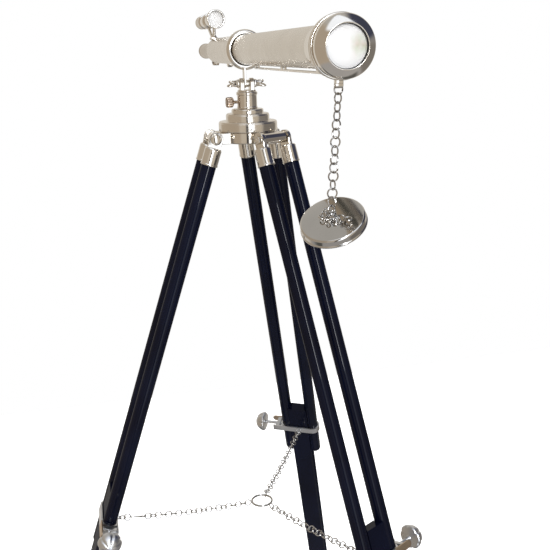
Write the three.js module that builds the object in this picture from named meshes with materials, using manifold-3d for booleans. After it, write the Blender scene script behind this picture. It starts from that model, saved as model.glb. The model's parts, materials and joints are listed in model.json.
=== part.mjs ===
// Refracting telescope on a floor tripod: nickel-plated tube and fittings, black round leg rods.
// Millimetres, +Z up. The objective looks along -Y. The origin is on the floor, under the middle
// of the whole object's box.

import * as THREE from 'three';
import { mergeVertices } from 'three/addons/utils/BufferGeometryUtils.js';
import Module from 'manifold-3d';

const wasm = await Module();
wasm.setup();

// ---------------------------------------------------------------- driving dimensions

const GAP = 0.3;                  // clearance kept between neighbouring pieces
const LARGE = 24;                 // sides of a round piece, by its size
const MEDIUM = 18;
const SMALL = 12;
const TINY = 8;

// tripod
const LEG_AZIMUTHS = [60, 180, 300];   // degrees, about +Z from +X
const LEG_TILT = 18.7;            // degrees from vertical
const HINGE_RADIUS = 48;          // hinge axes, from the tripod's axis
const LEG_REACH = 1190;           // hinge axis to floor, along the leg
const ROD_RADIUS = 10;
const ROD_SPACING = 45;           // between the two rods of a leg
const ROD_END = 634;              // hinge axis to the rods' lower ends
const FERRULE_TOP = 11;
const FERRULE_END = 35;
const FERRULE_RADIUS = 11.4;
const EYE_RADIUS = 9.5;
const EYE_THICKNESS = 5.4;
const CLAMP_AT = 577;             // hinge axis to the middle of the clamp band
const CLAMP_HEIGHT = 11;
const CLAMP_WALL = 2.4;
const LOWER_TOP = 531;
const LOWER_END = 1168;
const LOWER_WIDTH = 33;
const LOWER_THICKNESS = 18;
const TAB_SQUARE = 48;            // ends of the strap's two tabs, from the leg's middle
const TAB_ROUND = 55;
const SCREW_BLOCK = 40;           // middle of the block that the knob's screw runs through
const KNOB_RADIUS = 17;
const KNOB_NEAR = 66;             // knob's inner face, from the leg's middle
const KNOB_FAR = 84;
const STAPLE_REACH = 21;          // end of the chain staple, inwards from the rods' plane
const CHAIN_RADIUS = 2.6;
const SPREADER_DROP = 560;        // centre ring below the hinge axes
const SPREADER_RING = 15.5;
const SPREADER_WIRE = 1.5;

// head
const ARM_HALF_WIDTH = 19.3;
const ARM_TOP = 7.7;              // above the hinge axes
const ARM_BOTTOM = -7;
const BASE_BOTTOM = 8;
const BASE_STEPS = [[39.4, 21], [29.2, 31], [21.5, 37]];   // radius, top of each disc
const SOCKET_RADIUS = 13.2;
const SOCKET_TOP = 59;
const SPIGOT_RADIUS = 8;
const PIVOT_HEIGHT = 69.7;        // altitude pivot above the hinge axes
const FORK_INNER = 3.9;
const FORK_OUTER = 9.7;
const FORK_DEPTH = 14;
const LOCK_HEIGHT = 46;
const WING_TURN = 22;             // degrees, wings of the wing nuts out of the horizontal

// telescope, stations along the tube from the pivot, objective side negative
const AXIS_RISE = 43;             // tube axis above the altitude pivot
const TUBE_RADIUS = 19.1;
const TUBE_BORE = 17.9;
const TUBE_FRONT = -392;
const TUBE_REAR = 215;
const FLANGE_RADIUS = 27.4;
const FLANGE_FRONT = -411;
const FLARE_START = -366;
const RING_RADIUS = 26.3;
const RING_FRONT = -427;
const APERTURE = 18;
const LENS_SEAT = 4;              // lens seat behind the ring's front
const LENS_RADIUS = 19.6;
const CRADLE_RADIUS = 26;
const CRADLE_WIDTH = 13;
const TONGUE_THICKNESS = 2.4;     // of the cradle's tongue, which lies against the left fork
const HOUSING_RADIUS = 12.6;
const HOUSING_BORE = 10.4;
const HOUSING_REAR = 355;
const DRAW_RADIUS = 10;
const DRAW_FRONT = 175;           // drawtube's front end, inside the barrel
const PINION_AT = 250;            // station of the focus shaft
const PINION_DROP = 16.6;         // focus shaft below the tube axis
const PINION_PITCH = 4;           // pitch radius
const PINION_TEETH = 8;
const RACK_TEETH = 38;
const RACK_WIDTH = 3.4;
const TOOTH = 0.9;                // width of one tooth of the rack and the pinion
const SHAFT_RADIUS = 1.6;
const SHAFT_END = 16;             // where the knob takes over, to the side of the tube axis
const RACK_SLOT = 4.6;            // width of the slots that the rack runs through
const FINDER_SIDE = -8;
const FINDER_RISE = 46;
const FINDER_FRONT = 178;
const FINDER_REAR = 333;

// dust cap, hanging from the flange's lug
const LUG_AT = -401.755;
const LUG_DROP = 31;              // lug's hole below the tube axis
const LINK_EYE = 3;               // radius of the rounded lugs at both ends of the chain
const CAP_CHAIN_LENGTH = 111;     // between the holes at its ends
const CHAIN_LEAN = 4;             // degrees, its lower end towards -X
const CAP_RADIUS = 30;
const CAP_DEPTH = 9.5;
const CAP_WALL = 1.6;
const CAP_EYE_RISE = 3.6;         // eye's hole above the cap's face
const CAP_TILT = 23.5;            // degrees, front edge down
const CAP_LEAN = -21;             // degrees, the edge towards +X up

// ---------------------------------------------------------------- materials

const nickel = { color: 0xcfc6b8, roughness: 0.25, metalness: 1 };
const satinNickel = { color: 0xc8c0b4, roughness: 0.45, metalness: 1 };
const blackLacquer = { color: 0x0c0e1c, roughness: 0.15, metalness: 0 };
const greyMetal = { color: 0x9a948c, roughness: 0.4, metalness: 1 };
const glass = { color: 0xe8f2ee, roughness: 0.02, metalness: 0, transparent: true, opacity: 0.35 };
const rubber = { color: 0x1a1a1c, roughness: 0.8, metalness: 0 };

// ---------------------------------------------------------------- shape helpers

const radians = THREE.MathUtils.degToRad;
const sum = (a, b) => a.add(b);

function toSolid(geometry) {
  const bare = geometry.index ? geometry.toNonIndexed() : geometry.clone();
  bare.deleteAttribute('normal');
  bare.deleteAttribute('uv');
  const merged = mergeVertices(bare, 1e-4);
  const vertProperties = new Float32Array(merged.attributes.position.array);
  const triVerts = new Uint32Array(merged.index.array);
  return new wasm.Manifold(new wasm.Mesh({ numProp: 3, vertProperties, triVerts }));
}

function toGeometry(solid) {
  const mesh = solid.getMesh();
  const geometry = new THREE.BufferGeometry();
  geometry.setAttribute('position', new THREE.BufferAttribute(mesh.vertProperties, 3));
  geometry.setIndex(new THREE.BufferAttribute(mesh.triVerts, 1));
  geometry.computeVertexNormals();
  return geometry;
}

// A body of revolution about Y from [radius, height] pairs.
function turnedY(profile, segments = MEDIUM) {
  return new THREE.LatheGeometry(profile.map(([r, h]) => new THREE.Vector2(r, h)), segments);
}

// The same about Z.
function turnedZ(profile, segments = MEDIUM) {
  return turnedY(profile, segments).rotateX(Math.PI / 2);
}

// The same about X.
function turnedX(profile, segments = MEDIUM) {
  return turnedY(profile, segments).rotateZ(-Math.PI / 2);
}

// A closed profile for a plain tube between two heights.
function tubeProfile(inner, outer, low, high) {
  return [[inner, low], [outer, low], [outer, high], [inner, high], [inner, low]];
}

// A closed profile for a plain rod between two heights.
function rodProfile(radius, low, high) {
  return [[0, low], [radius, low], [radius, high], [0, high]];
}

// Points of an arc in a profile, angles in degrees.
function arc(centre, radius, from, to, steps = 6) {
  return Array.from({ length: steps + 1 }, (_, i) => {
    const angle = radians(from + (to - from) * i / steps);
    return [centre[0] + radius * Math.cos(angle), centre[1] + radius * Math.sin(angle)];
  });
}

function box(size, centre) {
  return new THREE.BoxGeometry(...size).translate(...centre);
}

// A tube along a curve, with a section of eight sides.
function tubeAlong(curve, radius, steps, sides = 8) {
  const outline = arc([0, 0], radius, 0, 360, sides).slice(0, sides);
  const section = new THREE.Shape(outline.map(([x, y]) => new THREE.Vector2(x, y)));
  return new THREE.ExtrudeGeometry(section, { steps, bevelEnabled: false, extrudePath: curve });
}

const object = new THREE.Group();

function place(parent, name, geometry, look) {
  const mesh = new THREE.Mesh(geometry, new THREE.MeshStandardMaterial(look));
  mesh.name = name;
  parent.add(mesh);
  return mesh;
}

// ---------------------------------------------------------------- telescope

const hubHeight = LEG_REACH * Math.cos(radians(LEG_TILT));
const axisHeight = hubHeight + PIVOT_HEIGHT + AXIS_RISE;

function mainBarrel() {
  return turnedY(tubeProfile(TUBE_BORE, TUBE_RADIUS, TUBE_FRONT, TUBE_REAR), LARGE);
}

// Flared collar at the front of the barrel, with a pierced lug under it for the cap's chain.
function bellFlange() {
  const bore = TUBE_RADIUS + GAP;
  const widest = FLANGE_RADIUS - 1.2;
  const flareFront = FLANGE_FRONT + 8;
  const flare = Array.from({ length: 7 }, (_, i) => {
    const along = i / 6;
    const radius = bore + 0.7 + (widest - bore - 0.7) * (1 - along) ** 2;
    return [radius, flareFront + (FLARE_START - flareFront) * along];
  });
  const profile = [
    [bore, FLANGE_FRONT], [FLANGE_RADIUS - 1, FLANGE_FRONT], [FLANGE_RADIUS, FLANGE_FRONT + 1],
    [FLANGE_RADIUS, FLANGE_FRONT + 6], ...flare, [bore, FLARE_START], [bore, FLANGE_FRONT],
  ];
  const body = toSolid(turnedY(profile, LARGE));
  const lug = toSolid(box([7, 2 * LINK_EYE, 6], [0, LUG_AT, -LUG_DROP + 3]));
  const end = toSolid(turnedX(rodProfile(LINK_EYE, -3.5, 3.5), SMALL)
    .translate(0, LUG_AT, -LUG_DROP));
  const hole = toSolid(turnedX(rodProfile(1.7, -5, 5), TINY).translate(0, LUG_AT, -LUG_DROP));
  return toGeometry(body.add(lug).add(end).subtract(hole));
}

// Wide polished front ring. Its rebate holds the lens from the front.
function objectiveRing() {
  const seat = LENS_RADIUS + GAP;
  const back = FLANGE_FRONT - GAP;
  const profile = [
    [seat, back], [seat, RING_FRONT + LENS_SEAT], [APERTURE, RING_FRONT + LENS_SEAT],
    [APERTURE, RING_FRONT + 1.5],
    [APERTURE + 1, RING_FRONT + 0.5], [RING_RADIUS - 5, RING_FRONT],
    ...arc([RING_RADIUS - 3.6, RING_FRONT + 3.6], 3.6, 270, 360, 3),
    [RING_RADIUS, back - 1.5], [RING_RADIUS - 1.5, back], [seat, back],
  ];
  return turnedY(profile, LARGE);
}

function lensDisc(radius, middle, edge, bulge, segments = MEDIUM) {
  const half = edge / 2;
  const crown = (sign) => [0.35, 0.7].map((part) => {
    return [radius * part, middle + sign * (half + bulge * (1 - part * part))];
  });
  return turnedY([
    [0, middle - half - bulge], ...crown(-1), [radius, middle - half],
    [radius, middle + half], ...crown(1).reverse(), [0, middle + half + bulge],
  ], segments);
}

// Strap ring round the barrel. Its thin tongue drops between the forks, with a spacer beside it.
function cradleRing() {
  const half = CRADLE_WIDTH / 2;
  const bore = TUBE_RADIUS + GAP;
  const round = 3.2;
  const ring = toSolid(turnedY([
    [bore, -half], [CRADLE_RADIUS - round, -half],
    ...arc([CRADLE_RADIUS - round, -half + round], round, 270, 360, 3),
    ...arc([CRADLE_RADIUS - round, half - round], round, 0, 90, 3),
    [bore, half], [bore, -half],
  ], LARGE));
  const left = -FORK_INNER + GAP;
  const right = left + TONGUE_THICKNESS;
  const bladeTop = CRADLE_RADIUS - 2;
  const blade = toSolid(box([TONGUE_THICKNESS, CRADLE_WIDTH - 1, AXIS_RISE - bladeTop],
    [(left + right) / 2, 0, -(AXIS_RISE + bladeTop) / 2]));
  const atPivot = (radius, low, high, sides) => toSolid(turnedX(rodProfile(radius, low, high), sides)
    .translate(0, 0, -AXIS_RISE));
  const end = atPivot(half - 0.5, left, right, MEDIUM);
  const spacer = atPivot(4.6, left, FORK_INNER - GAP, MEDIUM);
  return toGeometry([ring, blade, end, spacer].reduce(sum).subtract(atPivot(3.1, -10, 10, SMALL)));
}

// Thin rail under the barrel, on two short feet, with a round eye at its rear end.
function saddleRail() {
  const top = -TUBE_RADIUS - GAP - 1.6;
  const rear = -58;
  const front = FLARE_START + 6;
  const bar = toSolid(box([5, rear - front, 2.2], [0, (rear + front) / 2, top - 1.1]));
  const eye = toSolid(turnedZ(tubeProfile(2.2, 5, top - 2.2, top), SMALL).translate(0, rear + 2, 0));
  const feet = [rear - 14, (rear + front) / 2, front + 14]
    .map((station) => toSolid(box([5, 9, 2.4], [0, station, top + 0.9])));
  const barrel = toSolid(turnedY(rodProfile(TUBE_RADIUS + GAP, TUBE_FRONT, TUBE_REAR), LARGE));
  return toGeometry([bar, eye, ...feet].reduce(sum).subtract(barrel));
}

// Plate that closes the barrel's rear end round the drawtube, slotted for the rack.
function rearCollar() {
  const low = TUBE_REAR + GAP;
  const bore = HOUSING_BORE + 0.4;
  const plate = toSolid(turnedY([
    [bore, low - 6], [TUBE_BORE - GAP, low - 6], [TUBE_BORE - GAP, low],
    [TUBE_RADIUS, low], [TUBE_RADIUS, low + 3], [TUBE_RADIUS - 2, low + 5],
    [bore, low + 5], [bore, low - 6],
  ], LARGE));
  return toGeometry(plate.subtract(toSolid(box([RACK_SLOT, 20, 7], [0, low, -bore]))));
}

// Focuser tube with a small gear box under it. The rack runs in its bottom slot.
function focuserHousing() {
  const low = TUBE_REAR + 5 + 2 * GAP;
  const tube = toSolid(turnedY([
    [HOUSING_BORE, low], [HOUSING_RADIUS, low], [HOUSING_RADIUS, HOUSING_REAR - 6],
    ...arc([HOUSING_RADIUS - 2, HOUSING_REAR - 6], 2, 0, 70, 3).slice(1),
    [HOUSING_BORE, HOUSING_REAR], [HOUSING_BORE, low],
  ], MEDIUM));
  const gearBox = toSolid(box([9, 13, 13], [0, PINION_AT, -PINION_DROP + 0.6]));
  const bore = toSolid(turnedY(rodProfile(HOUSING_BORE, low - 1, HOUSING_REAR + 1), MEDIUM));
  const slot = toSolid(box([RACK_SLOT, HOUSING_REAR - low + 2, 8], [0, (HOUSING_REAR + low) / 2, -10]));
  const atPinion = (radius, half) => toSolid(turnedX(rodProfile(radius, -half, half), SMALL)
    .translate(0, PINION_AT, -PINION_DROP));
  const hollows = [bore, slot, atPinion(PINION_PITCH + 1.3, 2.9), atPinion(SHAFT_RADIUS + GAP, 8)];
  return toGeometry(tube.add(gearBox).subtract(hollows.reduce(sum)));
}

const rackPitch = 2 * Math.PI * PINION_PITCH / PINION_TEETH;
const rackLength = RACK_TEETH * rackPitch;

function drawtube() {
  const profile = tubeProfile(DRAW_RADIUS - 1.1, DRAW_RADIUS, DRAW_FRONT, HOUSING_REAR + 6);
  const seat = box([RACK_WIDTH + 0.6, rackLength + 4, 4],
    [0, DRAW_FRONT + rackLength / 2, -DRAW_RADIUS - 1.6]);
  return toGeometry(toSolid(turnedY(profile, MEDIUM)).subtract(toSolid(seat)));
}

// Straight rack under the drawtube. A gap between two of its teeth faces the pinion.
function focusRack() {
  const line = -PINION_DROP + PINION_PITCH;
  const front = DRAW_FRONT + 1;
  const bar = toSolid(box([RACK_WIDTH, rackLength, 1.6], [0, front + rackLength / 2, line + 1.8]));
  const meshing = PINION_AT + rackPitch / 2;
  const firstTooth = meshing - Math.floor((meshing - front - 1) / rackPitch) * rackPitch;
  const teeth = Array.from({ length: RACK_TEETH - 1 }, (_, i) => {
    return toSolid(box([RACK_WIDTH, TOOTH, 1.7], [0, firstTooth + i * rackPitch, line + 0.35]));
  });
  return toGeometry(teeth.reduce(sum, bar));
}

// Focus shaft with its pinion in the middle; one tooth points straight up.
function focusShaft() {
  const width = 4.8;
  const tip = PINION_PITCH + 0.5;
  const shaft = toSolid(turnedX(rodProfile(SHAFT_RADIUS, -6, SHAFT_END), SMALL));
  const hub = toSolid(turnedX(rodProfile(PINION_PITCH - 1.1, -width / 2, width / 2), SMALL));
  const teeth = Array.from({ length: PINION_TEETH }, (_, i) => {
    const tooth = box([width, TOOTH, tip], [0, 0, tip / 2]);
    return toSolid(tooth.rotateX(2 * Math.PI * i / PINION_TEETH));
  });
  return toGeometry(teeth.reduce(sum, shaft.add(hub)).translate([0, PINION_AT, -PINION_DROP]));
}

function focusKnob() {
  const inner = SHAFT_END + GAP;
  const profile = [
    [0, inner], [4, inner], [4, inner + 2], [9, inner + 3], [9.6, inner + 4],
    [9.6, inner + 10], [8.6, inner + 11.4], [0, inner + 12],
  ];
  return turnedX(profile, MEDIUM).translate(0, PINION_AT, -PINION_DROP);
}

function eyepiece() {
  const front = HOUSING_REAR + 6 + GAP;
  return turnedY([
    [7, front], [9.4, front], [9.4, front + 9], [8.6, front + 11], [8.6, front + 19],
    [6.5, front + 21], [3.6, front + 21], [3.6, front + 17], [7, front + 15], [7, front],
  ], MEDIUM);
}

// Small finder tube: wide front cell, stepped bands.
function finderTube() {
  const rear = FINDER_REAR - 34;
  const outer = [
    [12.6, FINDER_FRONT], [14, FINDER_FRONT + 1], [14, FINDER_FRONT + 12], [12.2, FINDER_FRONT + 15],
    [9.5, FINDER_FRONT + 18], [9.5, FINDER_FRONT + 60], [11.6, FINDER_FRONT + 61],
    [11.6, FINDER_FRONT + 69], [9.5, FINDER_FRONT + 70], [9.5, rear - 9], [11.4, rear - 8],
    [11.4, rear - 1], [10.6, rear],
  ];
  return turnedY([[11.6, FINDER_FRONT], ...outer, [8.2, rear], [8.2, FINDER_FRONT + 18],
    [11.6, FINDER_FRONT + 14], [11.6, FINDER_FRONT]], MEDIUM);
}

function finderEyepiece() {
  const front = FINDER_REAR - 50;
  const shoulder = FINDER_REAR - 34 + GAP;
  return turnedY([
    [6.6, front], [7.8, front], [7.8, shoulder], [8.6, shoulder], [10.4, shoulder + 3],
    [10.4, FINDER_REAR - 12], [9, FINDER_REAR - 9], [10.6, FINDER_REAR - 6], [10.6, FINDER_REAR - 1],
    [9.6, FINDER_REAR], [5, FINDER_REAR], [5, FINDER_REAR - 5], [6.6, FINDER_REAR - 7], [6.6, front],
  ], MEDIUM);
}

// Strut from a foot on the barrel to a saddle under the finder.
function finderStrut(footStation, topStation) {
  const foot = new THREE.Vector3(FINDER_SIDE, footStation, 14);
  const top = new THREE.Vector3(FINDER_SIDE, topStation, FINDER_RISE - 8);
  const strut = toSolid(tubeAlong(new THREE.LineCurve3(foot, top), 2.4, 1, 12));
  const pad = toSolid(box([11, 9, 9], [FINDER_SIDE, footStation, 15.2]));
  const saddle = toSolid(box([10, 8, 7], [FINDER_SIDE, topStation, FINDER_RISE - 9.6]));
  const barrel = toSolid(turnedY(rodProfile(TUBE_RADIUS + GAP, TUBE_FRONT, TUBE_REAR + 20), LARGE));
  const finder = toSolid(turnedY(rodProfile(9.5 + GAP, FINDER_FRONT, FINDER_REAR), MEDIUM)
    .translate(FINDER_SIDE, 0, FINDER_RISE));
  return toGeometry([strut, pad, saddle].reduce(sum).subtract(barrel).subtract(finder));
}

function dustCap() {
  const cup = toSolid(turnedZ([
    [0, -CAP_WALL], [CAP_RADIUS - CAP_WALL, -CAP_WALL], [CAP_RADIUS - CAP_WALL, -CAP_DEPTH],
    [CAP_RADIUS + 0.6, -CAP_DEPTH], [CAP_RADIUS + 0.6, -CAP_DEPTH + 1.8],
    [CAP_RADIUS, -CAP_DEPTH + 2.4],
    ...arc([CAP_RADIUS - 2, -2], 2, 0, 90, 2), [0, 0],
  ], LARGE));
  const foot = toSolid(box([2.4, 2 * LINK_EYE, CAP_EYE_RISE + 0.4], [0, 0, CAP_EYE_RISE / 2 - 0.2]));
  const eye = toSolid(turnedX(rodProfile(LINK_EYE, -1.2, 1.2), SMALL).translate(0, 0, CAP_EYE_RISE));
  const hole = toSolid(turnedX(rodProfile(1.6, -4, 4), TINY).translate(0, 0, CAP_EYE_RISE));
  return toGeometry(cup.add(foot).add(eye).subtract(hole));
}

const telescope = new THREE.Group();
telescope.position.z = axisHeight;
object.add(telescope);
place(telescope, 'main_barrel', mainBarrel(), satinNickel);
place(telescope, 'bell_flange', bellFlange(), nickel);
place(telescope, 'objective_ring', objectiveRing(), nickel);
place(telescope, 'objective_lens', lensDisc(LENS_RADIUS, RING_FRONT + LENS_SEAT + 2.2, 3, 2), glass);
place(telescope, 'cradle_ring', cradleRing(), nickel);
place(telescope, 'saddle_rail', saddleRail(), nickel);
place(telescope, 'rear_collar', rearCollar(), nickel);
place(telescope, 'focuser_housing', focuserHousing(), satinNickel);
place(telescope, 'drawtube', drawtube(), nickel);
place(telescope, 'focus_rack', focusRack(), greyMetal);
place(telescope, 'focus_shaft', focusShaft(), greyMetal);
place(telescope, 'focus_knob', focusKnob(), nickel);
place(telescope, 'eyepiece', eyepiece(), nickel);
place(telescope, 'eye_lens', lensDisc(6.6, HOUSING_REAR + 13, 2, 1, SMALL), glass);

const finder = new THREE.Group();
finder.position.set(FINDER_SIDE, 0, FINDER_RISE);
telescope.add(finder);
place(finder, 'finder_tube', finderTube(), nickel);
place(finder, 'finder_lens', lensDisc(11.2, FINDER_FRONT + 7, 2, 1.2, MEDIUM), glass);
place(finder, 'finder_eyepiece', finderEyepiece(), nickel);
place(telescope, 'finder_bracket_front', finderStrut(202, 201), nickel);
place(telescope, 'finder_bracket_rear', finderStrut(211.6, 262), nickel);

// ---------------------------------------------------------------- dust cap and its chain

const chainLean = radians(CHAIN_LEAN);
const downChain = new THREE.Vector3(-Math.sin(chainLean), 0, -Math.cos(chainLean));
const belowLug = (distance) => new THREE.Vector3(0, LUG_AT, -LUG_DROP)
  .addScaledVector(downChain, distance);

function capChain() {
  const reach = LINK_EYE + 1;
  const line = new THREE.LineCurve3(belowLug(reach), belowLug(CAP_CHAIN_LENGTH - reach));
  return tubeAlong(line, CHAIN_RADIUS, 1);
}

place(telescope, 'cap_chain', capChain(), nickel);
const cap = place(telescope, 'dust_cap', dustCap(), satinNickel);
cap.rotation.set(radians(CAP_TILT), radians(CAP_LEAN), 0, 'YXZ');
cap.position.copy(belowLug(CAP_CHAIN_LENGTH))
  .sub(new THREE.Vector3(0, 0, CAP_EYE_RISE).applyEuler(cap.rotation));

// ---------------------------------------------------------------- head

const head = new THREE.Group();
head.position.z = hubHeight;
object.add(head);

function steppedBase() {
  const round = 1.2;
  const profile = [[0, BASE_BOTTOM], [BASE_STEPS[0][0] - round, BASE_BOTTOM]];
  BASE_STEPS.forEach(([radius, top], i) => {
    const low = i ? BASE_STEPS[i - 1][1] : BASE_BOTTOM;
    profile.push([radius, low + round], ...arc([radius - round, top - round], round, 0, 90, 2));
  });
  profile.push([0, BASE_STEPS[2][1]]);
  return turnedZ(profile, LARGE);
}

// Plate with three arms. Each arm's outer end is pierced for its hinge bolt.
function spider() {
  let solid = toSolid(turnedZ(rodProfile(34, ARM_BOTTOM, ARM_TOP), LARGE));
  const thickness = ARM_TOP - ARM_BOTTOM;
  for (const azimuth of LEG_AZIMUTHS) {
    const arm = toSolid(box([HINGE_RADIUS, 2 * ARM_HALF_WIDTH, thickness],
      [HINGE_RADIUS / 2, 0, (ARM_TOP + ARM_BOTTOM) / 2]));
    const nose = turnedY(rodProfile(7.4, -ARM_HALF_WIDTH, ARM_HALF_WIDTH), SMALL);
    const hole = turnedY(rodProfile(3.3, -30, 30), SMALL);
    const pierced = arm.add(toSolid(nose.translate(HINGE_RADIUS, 0, 0)))
      .subtract(toSolid(hole.translate(HINGE_RADIUS, 0, 0)));
    solid = solid.add(pierced.rotate([0, 0, azimuth]));
  }
  return toGeometry(solid);
}

function socket() {
  const low = BASE_STEPS[2][1] + GAP;
  const bore = SPIGOT_RADIUS + GAP;
  const body = toSolid(turnedZ([
    [bore, low], [SOCKET_RADIUS, low], [SOCKET_RADIUS, SOCKET_TOP - 3.4],
    [SOCKET_RADIUS + 0.9, SOCKET_TOP - 2.8], [SOCKET_RADIUS + 0.9, SOCKET_TOP - 0.8],
    [SOCKET_RADIUS + 0.1, SOCKET_TOP], [bore, SOCKET_TOP], [bore, low],
  ], MEDIUM));
  const hole = toSolid(turnedX(rodProfile(2.3, -20, 0), SMALL).translate(0, 0, LOCK_HEIGHT));
  return toGeometry(body.subtract(hole));
}

function yoke() {
  const low = BASE_STEPS[2][1] + 2;
  const flange = SOCKET_TOP + GAP;
  const stem = toSolid(turnedZ([
    [0, low], [SPIGOT_RADIUS, low], [SPIGOT_RADIUS, flange], [SOCKET_RADIUS - 0.8, flange],
    [SOCKET_RADIUS - 0.8, flange + 2], [0, flange + 2],
  ], MEDIUM));
  const fork = (side) => {
    const middle = side * (FORK_INNER + FORK_OUTER) / 2;
    const width = FORK_OUTER - FORK_INNER;
    const post = box([width, FORK_DEPTH, PIVOT_HEIGHT - flange],
      [middle, 0, (PIVOT_HEIGHT + flange) / 2]);
    const top = turnedX(rodProfile(FORK_DEPTH / 2, -width / 2, width / 2), MEDIUM);
    return toSolid(post).add(toSolid(top.translate(middle, 0, PIVOT_HEIGHT)));
  };
  const hole = toSolid(turnedX(rodProfile(3.1, -20, 20), SMALL).translate(0, 0, PIVOT_HEIGHT));
  return toGeometry(stem.add(fork(-1)).add(fork(1)).subtract(hole));
}

function azimuthLockKnob() {
  const profile = [
    [0, SPIGOT_RADIUS + GAP + 0.2], [2, SPIGOT_RADIUS + GAP + 0.2], [2, 17.6], [3.4, 18.4],
    [6.9, 19.2], [6.9, 27.6], [6.1, 28.8], [0, 29.4],
  ];
  return turnedX(profile, MEDIUM).rotateZ(Math.PI).translate(0, 0, LOCK_HEIGHT);
}

// Wing nut on one end of the altitude bolt: round hub with two outward loops.
function wingNut(side) {
  const inner = FORK_OUTER + GAP;
  const hub = toSolid(turnedX([
    [2.9, inner], [5.2, inner], [5.2, inner + 3], [4, inner + 7], [2.9, inner + 7], [2.9, inner],
  ], MEDIUM));
  const loop = (sign) => {
    const wing = new THREE.TorusGeometry(3.3, 1.1, 6, 12).scale(1.5, 1, 1);
    return toSolid(wing.rotateZ(sign * radians(32)).translate(inner + 9.6, sign * 6, 0));
  };
  const bore = toSolid(turnedX(rodProfile(2.9, 0, inner + 5), SMALL));
  const solid = hub.add(loop(1)).add(loop(-1)).subtract(bore);
  const turned = solid.rotate([WING_TURN, 0, side > 0 ? 0 : 180]);
  return toGeometry(turned.translate([0, 0, PIVOT_HEIGHT]));
}

function altitudeBolt() {
  const half = FORK_OUTER + 4.8;
  return turnedX(rodProfile(2.6, -half, half), SMALL).translate(0, 0, PIVOT_HEIGHT);
}

place(head, 'stepped_base', steppedBase(), nickel);
place(head, 'spider', spider(), nickel);
place(head, 'socket', socket(), nickel);
place(head, 'yoke', yoke(), nickel);
place(head, 'azimuth_lock_knob', azimuthLockKnob(), nickel);
place(head, 'altitude_bolt', altitudeBolt(), nickel);
place(head, 'wing_left', wingNut(-1), nickel);
place(head, 'wing_right', wingNut(1), nickel);

// ---------------------------------------------------------------- legs

// In a leg's own frame the hinge axis is Y, the leg runs down -Z and X points outwards.

function rod(side) {
  const top = -FERRULE_TOP - 5;
  return turnedZ([
    [0, -ROD_END], ...arc([ROD_RADIUS - 4, -ROD_END + 4], 4, 270, 360, 3),
    [ROD_RADIUS, top], [0, top],
  ], MEDIUM).translate(0, side * ROD_SPACING / 2, 0);
}

// Cap on a rod's top with a flat round eye for the hinge bolt.
function ferrule(side) {
  const bore = ROD_RADIUS + GAP;
  const cup = toSolid(turnedZ([
    [0, -FERRULE_TOP - 5 + GAP], [bore, -FERRULE_TOP - 5 + GAP], [bore, -FERRULE_END],
    [FERRULE_RADIUS, -FERRULE_END], [FERRULE_RADIUS, -FERRULE_TOP - 1.5],
    [FERRULE_RADIUS - 1.5, -FERRULE_TOP], [0, -FERRULE_TOP],
  ], MEDIUM));
  const half = EYE_THICKNESS / 2;
  const eye = toSolid(turnedY(rodProfile(EYE_RADIUS, -half, half), MEDIUM));
  const drop = FERRULE_TOP + 1;
  const neck = toSolid(box([2 * EYE_RADIUS - 3, EYE_THICKNESS, drop], [0, 0, -drop / 2]));
  const hole = toSolid(turnedY(rodProfile(3.3, -9, 9), SMALL));
  const solid = cup.add(eye).add(neck).subtract(hole);
  return toGeometry(solid.translate([0, side * ROD_SPACING / 2, 0]));
}

// Bolt with a dome head on one end and a nut on the other.
function hingeBolt() {
  const face = (ROD_SPACING + EYE_THICKNESS) / 2 + GAP;
  const headRadius = 7.2;
  const headRise = 3.1;
  const dome = [10, 40, 70].map((degrees) => {
    return [headRadius * Math.cos(radians(degrees)), face + 1 + headRise * Math.sin(radians(degrees))];
  });
  return turnedY([
    [0, -face - 5], [3, -face - 5], [3, -face - 4.2], [5.6, -face - 3.8], [5.6, -face],
    [2.9, -face], [2.9, face], [headRadius, face], ...dome, [0, face + 1 + headRise],
  ], SMALL);
}

function stadium(radius, spread) {
  const shape = new THREE.Shape();
  shape.absarc(0, spread, radius, 0, Math.PI, false);
  shape.absarc(0, -spread, radius, Math.PI, 2 * Math.PI, false);
  shape.closePath();
  return shape;
}

// Strap round both rods. Its ends run on as a square and a rounded tab, with the screw's block
// between them. A staple for the chain stands on its inner face.
function clampBand() {
  const inner = ROD_RADIUS + GAP;
  const half = CLAMP_HEIGHT / 2;
  const wall = inner + CLAMP_WALL;
  const extrude = (shape, height) => new THREE.ExtrudeGeometry(shape, {
    depth: height, bevelEnabled: false, curveSegments: 9,
  }).translate(0, 0, -height / 2);
  const outside = toSolid(extrude(stadium(wall, ROD_SPACING / 2), CLAMP_HEIGHT));
  const inside = toSolid(extrude(stadium(inner, ROD_SPACING / 2), CLAMP_HEIGHT + 2));
  const start = ROD_SPACING / 2;
  const middle = (inner + wall) / 2;
  const tab = (side, end) => toSolid(box([CLAMP_WALL, end - start, CLAMP_HEIGHT],
    [side * middle, (start + end) / 2, 0]));
  const round = toSolid(turnedX(rodProfile(half, inner, wall), MEDIUM)
    .translate(0, TAB_ROUND - half, 0));
  const block = toSolid(box([2 * inner + 1, 7, CLAMP_HEIGHT - 1], [0, SCREW_BLOCK, 0]));
  const screwHole = toSolid(turnedY(rodProfile(2.8, start + inner - 1, SCREW_BLOCK + 6), SMALL));
  const staple = toSolid(new THREE.TorusGeometry(3.6, 1.1, 6, 12).translate(-wall - 2.4, 0, 0));
  const tabs = tab(-1, TAB_SQUARE).add(tab(1, TAB_ROUND - half)).add(round);
  const solid = [outside, tabs, staple].reduce(sum).subtract(inside).add(block).subtract(screwHole);
  return toGeometry(solid.translate([0, 0, -CLAMP_AT]));
}

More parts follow.
